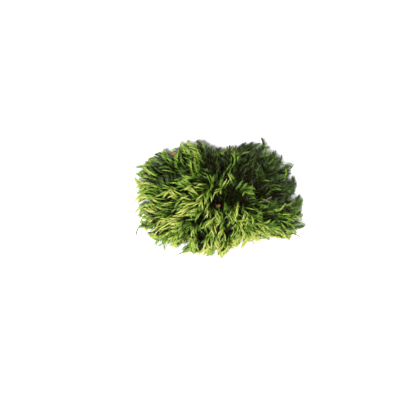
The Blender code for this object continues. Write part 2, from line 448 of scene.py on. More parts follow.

# open spots where the shoots part and the dark inside shows, deepened by painted shade on the sunk shoots:
# x, y, radius and depth in mm
hollows = [
    (9, 10, 5.5, 14), (13, -5, 4, 10), (0, -6, 5, 8), (28, -4, 5, 10), (46, 6, 6, 7), (24, -17, 3, 7),
    (7, -37, 5, 6), (-29, -25, 4, 5), (-14, 45, 8, 7), (-54, 40, 7, 5), (21, 35, 5, 6), (43, 20, 6, 7),
    (59, 10, 6, 6), (3, 35, 5, 6), (-67, 12, 5, 4), (-24, 24, 4, 4),
]

# wide soft patches of colour: x, y and radius in mm, then how much yellower or, below 0, darker
tonePatches = [
    (-30, 0, 25, 0.34), (-60, -10, 26, 0.15), (0, -34, 26, 0.24), (48, -27, 22, 0.20), (-31, 44, 9, 0.18),
    (-12, 46, 10, -0.36), (14, 42, 18, -0.38), (42, 42, 26, -0.34), (68, 15, 24, -0.32), (8, 8, 12, 0.13),
    (-60, 40, 18, -0.14), (36, 6, 14, 0.42),
]

# where the shoots reach further out over the ground: x, y and radius in mm, then the reach in mm
overhangs = [(-70, -26, 16, 6), (74, -26, 16, 9), (-78, 30, 12, 3), (-80, 14, 14, 5)]

# where the moss is curly and short instead of combed: x, y and radius in mm
curlyPatches = [(35, 40, 30), (62, 18, 28), (5, 42, 16), (-68, 34, 14)]


def patchSum(xy, patches):
    # how much of the soft round patches reaches each place
    total = np.zeros(len(xy))
    for x, y, radius, amount in patches:
        total += amount * np.exp(-(((xy - np.array([x, y]) * mm) / (radius * mm)) ** 2).sum(1))
    return total


def lockGaps(spots, ways, middle):
    # squared distance from a middle, where 1 is the rim of its lock
    away = spots - middle
    onward = (away[:, :2] * ways).sum(1)
    aside = (away[:, :2] * np.c_[-ways[:, 1], ways[:, 0]]).sum(1)
    along = (onward / lock["length"]) ** 2 + (away[:, 2] / lock["length"]) ** 2
    return (aside / lock["width"]) ** 2 + along


def makeLocks(tips):
    # each tip joins the nearest lock and gets its traits
    rng = np.random.default_rng(lock["seed"])
    ways = combedWay(tips[:, :2])[0]
    nearest = np.full(len(tips), 1e9)
    own = np.zeros(len(tips), int)
    middles = []
    for index in rng.permutation(len(tips)):
        if nearest[index] < lock["apart"]:
            continue
        gaps = lockGaps(tips, ways, tips[index])
        closer = gaps < nearest
        own[closer], nearest[closer] = len(middles), gaps[closer]
        middles.append(tips[index])
    middles = np.array(middles)
    count = len(middles)
    curly = np.clip(patchSum(middles[:, :2], [(*patch, 1.0) for patch in curlyPatches]), 0, 1)
    traits = {
        "middle": middles,
        "turn": rng.normal(0, 1, count) * (lock["turn"] + (lock["curlyTurn"] - lock["turn"]) * curly),
        "bend": rng.uniform(-1, 1, count),
        "lift": rng.normal(0, lock["lift"], count),
        "sink": rng.uniform(0, lock["sink"], count),
        "tone": rng.normal(0, lock["tone"], count) * (1 + lock["curlyTone"] * curly),
        "wave": rng.uniform(*lock["wave"], count),
        "waveTurn": fullTurn / rng.uniform(*lock["waveLength"], count),
        "waveStart": rng.uniform(0, fullTurn, count),
        "stray": np.where(rng.random(count) < lock["strays"],
                          rng.uniform(*lock["strayReach"], count), 0.0),
    }
    return {key: values[own] for key, values in traits.items()}


def hollowDepth(xy):
    # how deep the open spots push the tips in
    deep = np.zeros(len(xy))
    for x, y, radius, depth in hollows:
        away = np.linalg.norm(xy - np.array([x, y]) * mm, axis=1) / (radius * mm)
        deep = np.maximum(deep, depth * mm * np.exp(-away**2))
    return deep


# tubes for stems, threads, twigs and stalks

def tubeFaces(count, steps, sides, footCap=True):
    # triangles of count tubes, each a row of steps rings of points
    faces = []
    for k in range(steps - 1):
        for c in range(sides):
            d = (c + 1) % sides
            a, b, e, f = k * sides + c, k * sides + d, (k + 1) * sides + c, (k + 1) * sides + d
            faces += [[a, b, f], [a, f, e]]
    last = (steps - 1) * sides
    for c in range(1, sides - 1):
        faces += [[0, c + 1, c]] if footCap else []
        faces.append([last, last + c, last + c + 1])
    return (np.arange(count)[:, None, None] * steps * sides + np.array(faces)).reshape(-1, 3)


def sideways(way):
    side = unit(np.cross(way, np.broadcast_to([0.0, 0.0, 1.0], way.shape)) + 1e-6)
    return side, np.cross(side, way)


def tubeMesh(lines, radii, sides):
    # lines: (T, K, 3) places along T tubes; radii: (T, K)
    count, steps = lines.shape[:2]
    way = unit(np.gradient(lines, axis=1))
    side, up = sideways(way)
    angles = np.arange(sides) * fullTurn / sides
    ring = np.cos(angles)[:, None] * side[:, :, None, :] + np.sin(angles)[:, None] * up[:, :, None, :]
    points = lines[:, :, None, :] + ring * radii[:, :, None, None]
    return flatten(points), tubeFaces(count, steps, sides)


# the shoots: a stem with narrow leaves that all sweep one way

shoot = {
    "leafyLength": (17 * mm, 26 * mm),
    "leafyShare": (0.2, 0.95),  # least and most of the stem that bears leaves
    "leaves": 42,
    "crowding": 1.15,           # above 1 sets the leaves closer towards the tip
    "leafLength": 6.0 * mm,
    "leafSwell": (0.72, 0.36),  # length at the ends of the leafy part, and what its middle adds
    "leafWidth": 0.72 * mm,
    "brush": 3.8 * mm,          # how far the last leaves reach past the stem's end
    "spreadAngle": (2, 7),      # degrees from the stem: at the tip, and where the leaves start
    "sweep": 0.6,               # how far the leaves turn to the stem's hollow side
    "sweepSide": 1.2,
    "sweepUp": -0.35,
    "flare": 0.10,              # how far the leaves' points still turn away from the stem
    "vigour": 0.74,             # yellowness before the locks and patches change it
    "leastVigour": 0.32,
    "vigourPatch": (0.12, 18 * mm),
    "sunkDarker": (0.04, 0.3),  # painted shade on shoots that lie deep: per mm below the mound, and at most
    "footTint": 0.28,           # tint that all green leaves start from
    "paleFrom": 0.18,           # vigour above this makes the leaves paler than the foot's tint
    "youngTint": 0.75,          # how much of that only shows near the tip; the lower leaves stay darker, partly as older leaves and partly as painted shade
    "shadeFrom": 2.0 * mm,      # leaves deeper in the clump than this get darker, partly older colour and partly painted shade
    "shadeFull": 9.5 * mm,
    "shade": 0.50,
    "shadeLeast": 0.27,         # tint that the shade alone doesn't go below
    "lowest": 0.2 * mm,         # leaves that would hang lower lie on the ground
    "seed": 7,
}

# how far single leaves and shoots differ from the rest
scatter = {
    "vigour": 0.04,
    "spot": 0.01,   # along the stem, as a share of the leafy part
    "around": 0.3,  # radians
    "spread": 4,    # degrees
    "sweep": 0.15,
    "point": 0.06,
    "length": (0.85, 1.15),
    "width": (0.8, 1.15),
    "tint": 0.09,
}

oldLeaf = {
    "count": 8,
    "where": (0.25, 0.82),  # shares of the stem
    "length": (6 * mm, 9 * mm),
    "width": (0.8 * mm, 1.3 * mm),
    "tint": (0.02, 0.3),
}

# a leaf is a keeled blade: a base point, two sections of three points and a tip
blade = {
    "sections": ((0.3, 1.0), (0.66, 0.62)),  # shares of the length and of the full width
    "straight": 0.45,                        # share of the length before the blade turns
    "keel": 0.22,                            # depth of the fold as a share of the width
    "halfTint": 0.012,                       # how much the two halves differ
}
bladeFaces = np.array([[0, 2, 1], [0, 3, 2], [1, 2, 5], [1, 5, 4],
                       [2, 3, 6], [2, 6, 5], [4, 5, 7], [5, 6, 7]])
tintRange = (0.005, 0.995)

# a stem rises from the foot, bends over with the combing and ends under its shoot's tip
stem = {
    "radius": 0.30 * mm,
    "taper": 0.55,               # the radius at the end, as a share
    "rings": 6,
    "tint": (0.05, 0.22),
    "turnScatter": 0.045,        # radians
    "droop": -0.12,              # how steeply the combed way falls before it meets the mound
    "lift": 6,                   # degrees off the mound
    "crownLift": 40,             # more beside the parting, less with the distance from it
    "crownFade": (2 * mm, 20 * mm),
    "sideLift": 38,              # more where the mound is steep, from and up to these slopes
    "sideFade": (0.40, 0.9),
    "liftScatter": 1.5,
    "strayFade": (0.3, 0.7),     # slopes between which strays reach further out
    "overhangFade": (0.1, 0.4),
    "overhangScatter": (0.3, 1.0),
    "lockBend": 0.25,
    "waveBend": -0.6,
    "combBend": -0.4,
    "bendScatter": 0.08,
    "bendTurn": 0.9,
    "bendReach": 3.0 * mm,
    "uneven": 0.9 * mm,
    "rimSink": 3.0 * mm,         # how much deeper the shoots at a lock's rim lie
    "sinkFade": (0.25, 0.6),     # slopes between which the sinking stops
    "sinkLess": 0.9,
    "rootSpread": 0.58,          # the foot's width as a share of the tips' width
    "rootHeight": (5 * mm, 8 * mm),
    "rootScatter": 2.5 * mm,
    "rootLean": 0.35,
    "rootHold": 0.35,            # share of the reach that the stem first rises
    "tipHold": (17 * mm, 0.55),  # most length, and most share of the reach, that leads to the end
}


def bezier(points, t):
    # points: four arrays (S, 3); t: (S, K); gives places and unit directions (S, K, 3)
    p0, p1, p2, p3 = (p[:, None, :] for p in points)
    t = t[..., None]
    s = 1 - t
    place = s**3 * p0 + 3 * s * s * t * p1 + 3 * s * t * t * p2 + t**3 * p3
    way = 3 * s * s * (p1 - p0) + 6 * s * t * (p2 - p1) + 3 * t * t * (p3 - p2)
    return place, unit(way)


def gatherTips(tip, traits, rng):
    # pulls the tips to the wavy middle line of their lock and turns the combing along it
    xy = tip[:, :2]
    way, fromParting = combedWay(xy)
    turn = traits["turn"] + rng.normal(0, stem["turnScatter"], len(tip))
    way = np.c_[way[:, 0] * np.cos(turn) - way[:, 1] * np.sin(turn),
                way[:, 0] * np.sin(turn) + way[:, 1] * np.cos(turn)]
    cross = np.c_[-way[:, 1], way[:, 0]]
    fromMiddle = xy - traits["middle"][:, :2]
    phase = (fromMiddle * way).sum(1) * traits["waveTurn"] + traits["waveStart"]
    aside = (fromMiddle * cross).sum(1) - traits["wave"] * np.sin(phase)
    xy = xy - cross * aside[:, None] * lock["gather"]
    way = unit(way + cross * (traits["wave"] * traits["waveTurn"] * np.cos(phase))[:, None])
    return xy, way, fromParting, phase, aside


def stemPaths(tip, traits, rng):
    # each stem's curve and reach, how deep its shoot lies, and its bend to a side
    count = len(tip)
    xy, way, fromParting, phase, aside = gatherTips(tip, traits, rng)
    normal = moundNormals(xy)
    steep = 1 - normal[:, 2]
    further = traits["stray"] * smoothStep(*stem["strayFade"], steep)
    overhang = patchSum(xy, overhangs) * mm * smoothStep(*stem["overhangFade"], steep)
    further += overhang * rng.uniform(*stem["overhangScatter"], count)
    tip = np.c_[xy + way * further[:, None], tip[:, 2]]
    out = np.c_[way, np.full(count, stem["droop"])]
    along = unit(out - (out * normal).sum(1, keepdims=True) * normal)
    crossway = np.cross(normal, along)
    lift = stem["lift"] + stem["crownLift"] * (1 - smoothStep(*stem["crownFade"], fromParting))
    lift += stem["sideLift"] * smoothStep(*stem["sideFade"], steep)
    lift += traits["lift"] + rng.normal(0, stem["liftScatter"], count)
    lift = np.radians(lift)[:, None]
    tipWay = unit(along * np.cos(lift) + normal * np.sin(lift))
    bend = traits["bend"] * stem["lockBend"] + np.sin(phase) * stem["waveBend"]
    bend += way[:, 0] * stem["combBend"] + rng.normal(0, stem["bendScatter"], count)
    depth = rng.uniform(0, stem["uneven"], count) + traits["sink"] + hollowDepth(xy)
    depth += np.clip(np.abs(aside) / lock["width"], 0, 1) ** 2 * stem["rimSink"]
    depth = depth * (1 - stem["sinkLess"] * smoothStep(*stem["sinkFade"], steep))
    end = tip - normal * depth[:, None] - tipWay * shoot["brush"]
    root = np.c_[xy * stem["rootSpread"], rng.uniform(*stem["rootHeight"], count)]
    root[:, :2] += rng.normal(0, stem["rootScatter"], (count, 2))
    reach = np.linalg.norm(end - root, axis=1, keepdims=True)
    rise = unit(np.c_[way * stem["rootLean"], np.ones(count)]) * reach * stem["rootHold"]
    longest, share = stem["tipHold"]
    back = unit(tipWay - crossway * bend[:, None] * stem["bendTurn"]) * np.minimum(longest, reach * share)
    end = end + crossway * bend[:, None] * stem["bendReach"]
    return (root, root + rise, end - back, end), reach[:, 0], depth, bend


def bladeMesh(base, start, turn, normal, length, width, tint):
    # leaves that leave the stem along start and turn towards turn, with 8 points and 8 triangles
    count = len(base)
    length, width = length[:, None], width[:, None]
    knee = base + start * length * blade["straight"]
    tip = knee + turn * length * (1 - blade["straight"])
    points = np.zeros((count, 8, 3))
    points[:, 0], points[:, 7] = base, tip
    for row, (s, share) in enumerate(blade["sections"]):
        place = (1 - s) ** 2 * base + 2 * s * (1 - s) * knee + s * s * tip
        way = unit((1 - s) * (knee - base) + s * (tip - knee))
        across = unit(np.cross(way, normal))
        half = across * width * share / 2
        points[:, 1 + 3 * row] = place - half
        points[:, 2 + 3 * row] = place - np.cross(across, way) * width * share * blade["keel"]
        points[:, 3 + 3 * row] = place + half
    faces = (np.arange(count)[:, None, None] * 8 + bladeFaces).reshape(-1, 3)
    rows = [s for s, share in blade["sections"] for corner in range(3)]
    along = np.tile([0.0, *rows, 1.0], (count, 1))
    halves = np.array([0, -1, 0, 1, -1, 0, 1, 0]) * blade["halfTint"]
    tints = np.clip(tint[:, None] + halves, *tintRange)
    return flatten(points), faces, tints.ravel(), along.ravel()


def stemMesh(path, tint):
    # three-sided tapering stems
    rings = stem["rings"]
    t = np.broadcast_to(np.linspace(0, 1, rings), (len(path[0]), rings))
    place, way = bezier(path, t)
    side, up = sideways(way)
    radius = stem["radius"] * np.linspace(1.0, stem["taper"], rings)[None, :, None]
    corners = [place + radius * (math.cos(a) * side + math.sin(a) * up)
               for a in (0.0, 2.094, 4.189)]      # thirds of a turn
    points = np.stack(corners, axis=2)
    count = len(points)
    faces = tubeFaces(count, rings, 3, footCap=False)
    tints = tint[:, None, None] + np.array([-1, 0, 1]) * blade["halfTint"]
    tints = np.broadcast_to(tints, (count, rings, 3)).ravel()
    along = np.broadcast_to(np.linspace(0.3, 0.6, rings)[None, :, None], (count, rings, 3)).ravel()
    return flatten(points), faces, np.clip(tints, *tintRange), along


def greenLeaves(path, reach, vigour, bend, rng):
    # leaves that spiral up each stem; u runs from 0, where they start, to 1 at the tip
    count, leaves = len(reach), shoot["leaves"]
    order = (np.arange(leaves) + 0.5) / leaves
    u = 1 - (1 - order[None, :]) ** shoot["crowding"] + rng.normal(0, scatter["spot"], (count, leaves))
    u = np.clip(u, 0, 1)
    leafy = rng.uniform(*shoot["leafyLength"], count) / reach
    place, way = bezier(path, 1 - (1 - u) * np.clip(leafy, *shoot["leafyShare"])[:, None])
    side, up = sideways(way)
    around = np.arange(leaves)[None, :] * goldenTurn + rng.uniform(0, anyTurn, (count, 1))
    around = around + rng.normal(0, scatter["around"], (count, leaves))
    radial = np.cos(around)[..., None] * side + np.sin(around)[..., None] * up
    tipAngle, footAngle = shoot["spreadAngle"]
    opening = footAngle + (tipAngle - footAngle) * u + rng.normal(0, scatter["spread"], u.shape)
    opening = np.radians(opening)[..., None]
    start = np.cos(opening) * way + np.sin(opening) * radial
    hollow = (-shoot["sweepSide"] * bend + rng.normal(0, scatter["sweep"], count))[:, None, None]
    sweep = (side * hollow + up * shoot["sweepUp"]) * shoot["sweep"]
    turn = unit(way + sweep + radial * shoot["flare"] + rng.normal(0, scatter["point"], start.shape))
    least, swell = shoot["leafSwell"]
    length = shoot["leafLength"] * (least + swell * np.sin(np.pi * (0.15 + 0.75 * u)))
    length = length * rng.uniform(*scatter["length"], u.shape)
    width = shoot["leafWidth"] * rng.uniform(*scatter["width"], u.shape)
    # lower leaves darker: partly older leaves, partly painted shade under the leaves above
    youngAndLit = 1 - shoot["youngTint"] * (1 - u) ** 1.5
    tint = shoot["footTint"] + (vigour[:, None] - shoot["paleFrom"]) * youngAndLit
    tint = tint + rng.normal(0, scatter["tint"], u.shape)
    base = place + radial * stem["radius"] * 0.6
    return bladeMesh(flatten(base), flatten(start), flatten(turn), flatten(-radial),
                     length.ravel(), width.ravel(), tint.ravel())


def brownLeaves(path, rng):
    # older, larger, dead leaves further down the stem
    count, leaves = len(path[0]), oldLeaf["count"]
    place, way = bezier(path, rng.uniform(*oldLeaf["where"], (count, leaves)))
    side, up = sideways(way)
    around = rng.uniform(0, anyTurn, (count, leaves))[..., None]
    radial = np.cos(around) * side + np.sin(around) * up
    start = unit(way * 0.6 + radial)
    turn = unit(way * 0.8 + radial * 0.6 + rng.normal(0, 0.3, start.shape))
    tint = rng.uniform(*oldLeaf["tint"], (count, leaves))
    length = rng.uniform(*oldLeaf["length"], count * leaves)
    width = rng.uniform(*oldLeaf["width"], count * leaves)
    return bladeMesh(flatten(place), flatten(start), flatten(turn), flatten(-radial),
                     length, width, tint.ravel())


def growShoots(tip, traits, rng):
    path, reach, depth, bend = stemPaths(tip, traits, rng)
    amount, size = shoot["vigourPatch"]
    vigour = shoot["vigour"] + amount * softNoise(tip, size, 21) + traits["tone"]
    vigour += rng.normal(0, scatter["vigour"], len(tip)) + patchSum(tip[:, :2], tonePatches)
    # painted shade: the deeper a shoot lies, the darker its tint
    perMm, most = shoot["sunkDarker"]
    vigour = np.maximum(vigour - np.minimum(depth / mm * perMm, most), shoot["leastVigour"])
    leaves = greenLeaves(path, reach, vigour, bend, rng)
    oldLeaves = brownLeaves(path, rng)
    stems = stemMesh(path, rng.uniform(*stem["tint"], len(tip)))
    return joinParts([leaves, oldLeaves, stems])


def shadeInside(points, tint):
    # leaves that lie deep in the clump are darkened, partly as older leaves are darker and partly as
    # painted shade where little light reaches
    normals = moundNormals(points[:, :2])
    depth = (onGrid(moundHeight, points[:, :2]) - points[:, 2]) * normals[:, 2]
    darker = tint - shoot["shade"] * smoothStep(shoot["shadeFrom"], shoot["shadeFull"], depth)
    return np.maximum(darker, np.minimum(tint, shoot["shadeLeast"]))


def joinParts(parts):
    # parts are (points, faces, tint, along)
    points = np.concatenate([p[0] for p in parts])
    starts = np.cumsum([0] + [len(p[0]) for p in parts[:-1]])
    faces = np.concatenate([p[1] + s for p, s in zip(parts, starts)])
    return points, faces, np.concatenate([p[2] for p in parts]), np.concatenate([p[3] for p in parts])


def meshPiece(name, node, slot, material, points, faces, tint, along, layout=False):
    # a piece that takes the place of one CAD node
    mesh = bpy.data.meshes.new(name)
    mesh.vertices.add(len(points))
    mesh.vertices.foreach_set("co", points.astype(np.float32).ravel())
    mesh.loops.add(len(faces) * 3)
    mesh.loops.foreach_set("vertex_index", faces.astype(np.int32).ravel())
    mesh.polygons.add(len(faces))
    mesh.polygons.foreach_set("loop_start", np.arange(len(faces), dtype=np.int32) * 3)
    mesh.polygons.foreach_set("use_smooth", np.ones(len(faces), dtype=bool))
    for key, values in (("tint", tint), ("along", along)):
        mesh.attributes.new(key, "FLOAT", "POINT").data.foreach_set("value", values.astype(np.float32))
    if layout:
        # a UV map laid out by the same two values, so leaves of one tint share one spot of a colour map
        corners = faces.ravel()
        uv = np.c_[tint[corners], along[corners]].astype(np.float32)
        mesh.uv_layers.new(name="OFBake").data.foreach_set("uv", uv.ravel())
    mesh.update()
    mesh.validate()
    mesh.materials.append(material)
    piece = bpy.data.objects.new(name, mesh)
    bpy.context.scene.collection.objects.link(piece)
    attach(piece, "root")
    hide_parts(node)
    print(name, len(faces), "triangles")


locks = makeLocks(tips)
total = 0
for number, name in enumerate(tuftNames):
    rng = np.random.default_rng(shoot["seed"] * 100 + number)
    mine = tipOwners == number
    points, faces, tint, along = growShoots(tips[mine], {k: v[mine] for k, v in locks.items()}, rng)
    points[:, 2] = np.maximum(points[:, 2], shoot["lowest"])
    # painted shade on the leaves that lie deep in the clump
    tint = shadeInside(points, tint)
    meshPiece(name.replace("tuft_", "") + "_shoots", name, "moss_shoots", mossLeaf,
              points, faces, tint, along, True)
    total += len(faces)
print("moss triangles:", total)


# the felt: a mat of rhizoids, cut flat underneath, with threads that fray out at its rim

felt = {
    "spokes": 220,
    "rings": 40,
    "crowding": 0.8,                # below 1 sets the rings closer towards the rim
    "rimProbe": 9,                  # degrees to each side in which the CAD felt's rim is looked for
    "rimSmoothing": 6,
    "raggedRim": (2.5 * mm, 0.12),  # depth, and patch as a share of the mat's radius
    "lumps": (1.3 * mm, 7 * mm),    # height and width
    "grain": (0.5 * mm, 1.6 * mm),
    "cutAt": 0.3 * mm,              # the cut face rests on the threads under it
    "pits": (0.7 * mm, 1.8 * mm),
    "thinnest": 0.2 * mm,
    "lowestTop": 0.4 * mm,
    "tint": 0.4,
}
feltThread = {
    "count": 2000,
    "length": (5 * mm, 13 * mm),
    "radius": 0.16 * mm,  # a strand of many rhizoids
    "atRim": 0.6,         # share that fray out at the rim; the rest lie under the cut
    "rimShares": (0.9, 0.99),
    "rimHeight": (0.4 * mm, 5.0 * mm),
    "lowest": 0.2 * mm,
    "steps": 6,
    "turn": 0.5,          # radians
    "curl": 90,           # radians in a metre
    "kink": 0.2,
    "fall": -0.22,
    "tint": 0.7,
    "seed": 5,
}


def feltRim(corners, angles, circle):
    # how far the CAD felt reaches in each direction, smoothed and then frayed
    bearing = np.arctan2(corners[:, 1], corners[:, 0])
    reach = np.linalg.norm(corners[:, :2], axis=1)
    off = np.abs((bearing[None, :] - angles[:, None] + math.pi) % fullTurn - math.pi)
    rim = np.where(off < math.radians(felt["rimProbe"]), reach, 0).max(axis=1)
    for step in range(felt["rimSmoothing"]):
        rim = (np.roll(rim, 1) + rim + np.roll(rim, -1)) / 3
    depth, patch = felt["raggedRim"]
    return rim + depth * softNoise(circle, patch, 3)


def feltBody(circle, rim, top):
    # rings of points on top, the same rings on the cut face, and a wall between their rims
    spokes, rings = felt["spokes"], felt["rings"]
    share = (np.arange(1, rings + 1) / rings) ** felt["crowding"]
    spots = flatten(circle[None, :, :] * rim[None, :, None] * share[:, None, None])
    rise = top * (1 - share**6)[:, None] ** 0.6 * (0.55 + 0.45 * (1 - share**2))[:, None]
    rough = felt["lumps"][0] * softNoise(spots, felt["lumps"][1], 8)
    rough += felt["grain"][0] * softNoise(spots, felt["grain"][1], 9)
    upper, lower = spots.copy(), spots.copy()
    upper[:, 2] = np.clip(rise.repeat(spokes, axis=1).ravel() + rough, felt["lowestTop"], top)
    deep, wide = felt["pits"]
    lower[:, 2] = felt["cutAt"] + np.clip(softNoise(spots, wide, 10), 0, 1) * deep
    upper[:, 2] = np.maximum(upper[:, 2], lower[:, 2] + felt["thinnest"])
    points = np.concatenate([[[0, 0, top * 0.95]], upper, [[0, 0, felt["cutAt"]]], lower])
    faces = []
    under = 1 + rings * spokes
    for i in range(spokes):
        j = (i + 1) % spokes
        faces += [[0, 1 + i, 1 + j], [under, under + 1 + j, under + 1 + i]]
        for r in range(rings - 1):
            a, b = 1 + r * spokes + i, 1 + r * spokes + j
            c, d = a + spokes, b + spokes
            faces += [[a, c, d], [a, d, b]]
            faces += [[under + a, under + b, under + d], [under + a, under + d, under + c]]
        a, b = 1 + (rings - 1) * spokes + i, 1 + (rings - 1) * spokes + j
        faces += [[a, under + a, under + b], [a, under + b, b]]
    return points, np.array(faces)


def feltThreads(circle, rim):
    # some fray out at the rim, and the others lie under the cut face
    plan = feltThread
    rng = np.random.default_rng(plan["seed"])
    count, steps = plan["count"], plan["steps"]
    picked = rng.integers(0, felt["spokes"], count)
    out, edge = circle[picked], rim[picked][:, None]
    start = out * edge * np.sqrt(rng.uniform(0.25, 0.98, count))[:, None]
    atRim = rng.random(count) < plan["atRim"]
    start[atRim] = out[atRim] * edge[atRim] * rng.uniform(*plan["rimShares"], (atRim.sum(), 1))
    heights = rng.uniform(*plan["rimHeight"], count)
    start[:, 2] = np.where(atRim, heights, plan["lowest"])
    heading = np.arctan2(out[:, 1], out[:, 0]) + rng.normal(0, plan["turn"], count)
    heading = np.where(atRim, heading, rng.uniform(0, fullTurn, count))
    curl = rng.normal(0, plan["curl"], count)
    length = rng.uniform(*plan["length"], count)
    lines = np.zeros((count, steps, 3))
    lines[:, 0] = start
    for k in range(1, steps):
        angle = heading + curl * length * k / steps + rng.normal(0, plan["kink"], count)
        stride = np.c_[np.cos(angle), np.sin(angle), np.where(atRim, plan["fall"], 0.0)]
        lines[:, k] = lines[:, k - 1] + stride * (length / (steps - 1))[:, None]
    lines[:, :, 2] = np.maximum(lines[:, :, 2], plan["lowest"])
    radii = plan["radius"] * rng.uniform(0.6, 1.3, (count, 1)) * np.linspace(1.0, 0.35, steps)
    return tubeMesh(lines, radii, 3)


def feltMat():
    corners = np.array([tuple(v.co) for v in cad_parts["rhizoid_felt"].data.vertices])
    angles = np.linspace(-math.pi, math.pi, felt["spokes"], endpoint=False)
    circle = np.c_[np.cos(angles), np.sin(angles), np.zeros(len(angles))]
    rim = feltRim(corners, angles, circle)
    meshes = [feltBody(circle, rim, corners[:, 2].max()), feltThreads(circle, rim)]
    tints = [np.full(len(mesh[0]), plan["tint"]) for mesh, plan in zip(meshes, (felt, feltThread))]
    return joinParts([(*mesh, tint, tint) for mesh, tint in zip(meshes, tints)])


meshPiece("rhizoid_mat", "rhizoid_felt", "rhizoid_felt", rhizoidFelt, *feltMat())


# the litter caught in the moss

# flakes: sizes, how blunt and ragged the outline is, how far the middle dips across (cup) and along
# (curl), the ribs, then the turn in degrees and how far the flake sinks into the moss
flakes = {
    "bud_scale": {
        "piece": "rusty_bud_scale", "slot": "rusty_scale",
        "length": 4.8 * mm, "width": 3.1 * mm, "blunt": 0.75, "ragged": 0.05,
        "cup": 1.1 * mm, "curl": 0.9 * mm, "ribs": 9, "ribDepth": 0.07 * mm, "sideVeins": 0.0,
        "turn": 25, "drop": 3.2 * mm, "seed": 3,
    },
    "leaf_scrap": {
        "piece": "dry_leaf_scrap", "slot": "dry_leaf",
        "length": 6.6 * mm, "width": 3.8 * mm, "blunt": 0.5, "ragged": 0.22,
        "cup": 1.4 * mm, "curl": -1.2 * mm, "ribs": 1, "ribDepth": 0.16 * mm, "sideVeins": 5.0,
        "turn": 15, "drop": 3.4 * mm, "seed": 4,
    },
}
flakeShape = {
    "rows": 41,
    "columns": 25,
    "thickness": 0.22 * mm,
    "veinWidth": 0.12,  # the middle vein, as a share of the half width
    "veinHeight": 1.5,  # in rib depths, as is the next
    "sideVeinHeight": 0.6,
    "sideVeinSlant": 0.35,
}


def flakeMesh(node, plan):
    # a thin curled leaf with an upper and a lower skin; s runs along it and v across it
    low, high = (np.array(corner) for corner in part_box(node))
    rows, columns = flakeShape["rows"], flakeShape["columns"]
    s, v = np.meshgrid(np.linspace(0, 1, rows), np.linspace(-1, 1, columns), indexing="ij")
    half = plan["width"] / 2 * np.sin(math.pi * np.clip(s, 0.02, 0.985) ** 0.8) ** plan["blunt"]
    rim = np.c_[s.ravel() * 6, np.sign(v.ravel()) * 2, np.zeros(s.size)]
    frayed = softNoise(rim, 0.7, plan["seed"]).reshape(s.shape)
    half = half * (1 + plan["ragged"] * np.abs(v) ** 4 * frayed)
    x = (s - 0.5) * plan["length"] * (1 + 0.04 * np.abs(v))
    y = v * half
    relief = np.cos(v * math.pi * plan["ribs"]) * (1 - s)
    relief += np.exp(-((v / flakeShape["veinWidth"]) ** 2)) * flakeShape["veinHeight"]
    if plan["sideVeins"]:
        slant = np.cos(fullTurn * plan["sideVeins"] * (s - np.abs(v) * flakeShape["sideVeinSlant"]))
        relief += np.clip(slant, 0, None) * flakeShape["sideVeinHeight"]
    z = plan["cup"] * (v * half / plan["width"] * 2) ** 2 + plan["curl"] * (2 * s - 1) ** 2
    z += relief * plan["ribDepth"]
    turn = math.radians(plan["turn"])
    centre = (low + high) / 2
    place = flatten(np.stack([centre[0] + x * math.cos(turn) - y * math.sin(turn),
                              centre[1] + x * math.sin(turn) + y * math.cos(turn),
                              low[2] + z - plan["drop"]], axis=-1))
    points = np.concatenate([place, place - [0, 0, flakeShape["thickness"]]])
    size = rows * columns
    faces = []
    for i in range(rows - 1):
        for j in range(columns - 1):
            a, d = i * columns + j, i * columns + j + 1
            b, c = a + columns, d + columns
            faces += [[a, b, c], [a, c, d], [size + a, size + c, size + b], [size + a, size + d, size + c]]
    edge = [i * columns for i in range(rows)] + [(rows - 1) * columns + j for j in range(1, columns)]
    edge += [i * columns + columns - 1 for i in range(rows - 2, -1, -1)] + list(range(columns - 2, 0, -1))
    for a, b in zip(edge, edge[1:] + edge[:1]):
        faces += [[a, size + a, size + b], [a, size + b, b]]
    tint = (0.45 + 0.125 * relief + 0.25 * np.abs(v) ** 3 - 0.25 * (1 - s) ** 2).ravel()
    tint = np.clip(np.concatenate([tint, tint * 0.8]), 0.01, 0.99)  # darker underneath
    return points, np.array(faces), tint


# sticks: places as shares of the CAD node's box, from foot to end, with radii in mm
sticks = {
    "bare_twig": {
        "piece": "weathered_twig", "slot": "bare_twig", "sides": 10,
        "line": [(0.05, 0.08, 0.2), (0.36, 0.38, 0.5), (0.68, 0.66, 0.45), (0.97, 0.95, 0.75)],
        "radii": [0.62, 0.55, 0.50, 0.34],
        "knots": 4, "knotSize": 0.35, "stubs": 3, "wobble": 0.12 * mm, "drop": 3.2 * mm, "seed": 6,
    },
    "dead_stalk_southwest": {
        "piece": "arched_dead_stalk", "slot": "dead_stalk", "sides": 6,
        "line": [(0.98, 0.97, 0.3), (0.60, 0.99, 0.6), (0.22, 0.82, 0.9), (0.05, 0.45, 0.6),
                 (0.03, 0.03, 0.1)],
        "radii": [0.50, 0.48, 0.44, 0.36, 0.22],
        "knots": 5, "knotSize": 0.3, "stubs": 2, "wobble": 0.25 * mm, "drop": 0, "seed": 7,
    },
    "dead_stalk_south": {
        "piece": "short_dead_stalk", "slot": "dead_stalk", "sides": 6,
        "line": [(0.08, 0.97, 0.3), (0.35, 0.66, 0.7), (0.72, 0.35, 0.7), (0.93, 0.03, 0.2)],
        "radii": [0.48, 0.44, 0.36, 0.20],
        "knots": 3, "knotSize": 0.3, "stubs": 1, "wobble": 0.2 * mm, "drop": 0, "seed": 8,
    },
    "dead_stalk_southeast": {
        "piece": "trailing_dead_stalk", "slot": "dead_stalk", "sides": 6,
        "line": [(0.02, 0.95, 0.3), (0.35, 0.72, 0.7), (0.68, 0.40, 0.7), (0.98, 0.05, 0.2)],
        "radii": [0.50, 0.45, 0.36, 0.20],
        "knots": 4, "knotSize": 0.3, "stubs": 2, "wobble": 0.25 * mm, "drop": 0, "seed": 9,
    },
}
